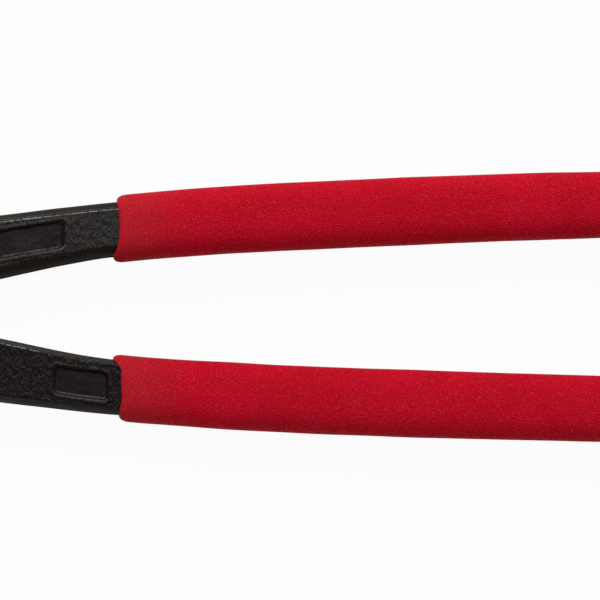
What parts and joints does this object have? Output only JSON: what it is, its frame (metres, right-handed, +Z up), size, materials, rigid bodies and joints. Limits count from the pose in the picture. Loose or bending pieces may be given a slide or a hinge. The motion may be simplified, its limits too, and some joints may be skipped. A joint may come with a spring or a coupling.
{
  "type": "nipper pliers",
  "caption": "End-cutting nipper pliers: forged levers crossing at a riveted lap joint, a broad cutting nose and long, gently bowed handles in dipped soft grips.",
  "frame": {"origin": "centre of the rivet's flat end on the underside, on the pivot axis", "axes": "+X from the pivot along the handles, +Z up along the pivot axis, +Y towards the right handle as held with the nose away"},
  "size_m": [0.22, 0.055, 0.02],
  "materials": {
    "lacquered_steel": "thin black lacquer over forged, lightly pitted steel, ground bright at the cutting edges",
    "rivet_steel": "upset by hammering and ground, darkened in the hollows",
    "red_dip": "matte dipped vinyl with a fine grain"
  },
  "bodies": {
    "right_half": {"right_lever": "lacquered_steel", "right_grip": "red_dip", "pivot_rivet": "rivet_steel"},
    "left_half": {"left_lever": "lacquered_steel", "left_grip": "red_dip"}
  },
  "joints": [
    {"name": "pivot", "type": "hinge", "parent": "right_half", "child": "left_half", "pos_m": [0, 0, 0.0083], "axis": [0, 0, -1], "range_deg": [0, 40]}
  ]
}
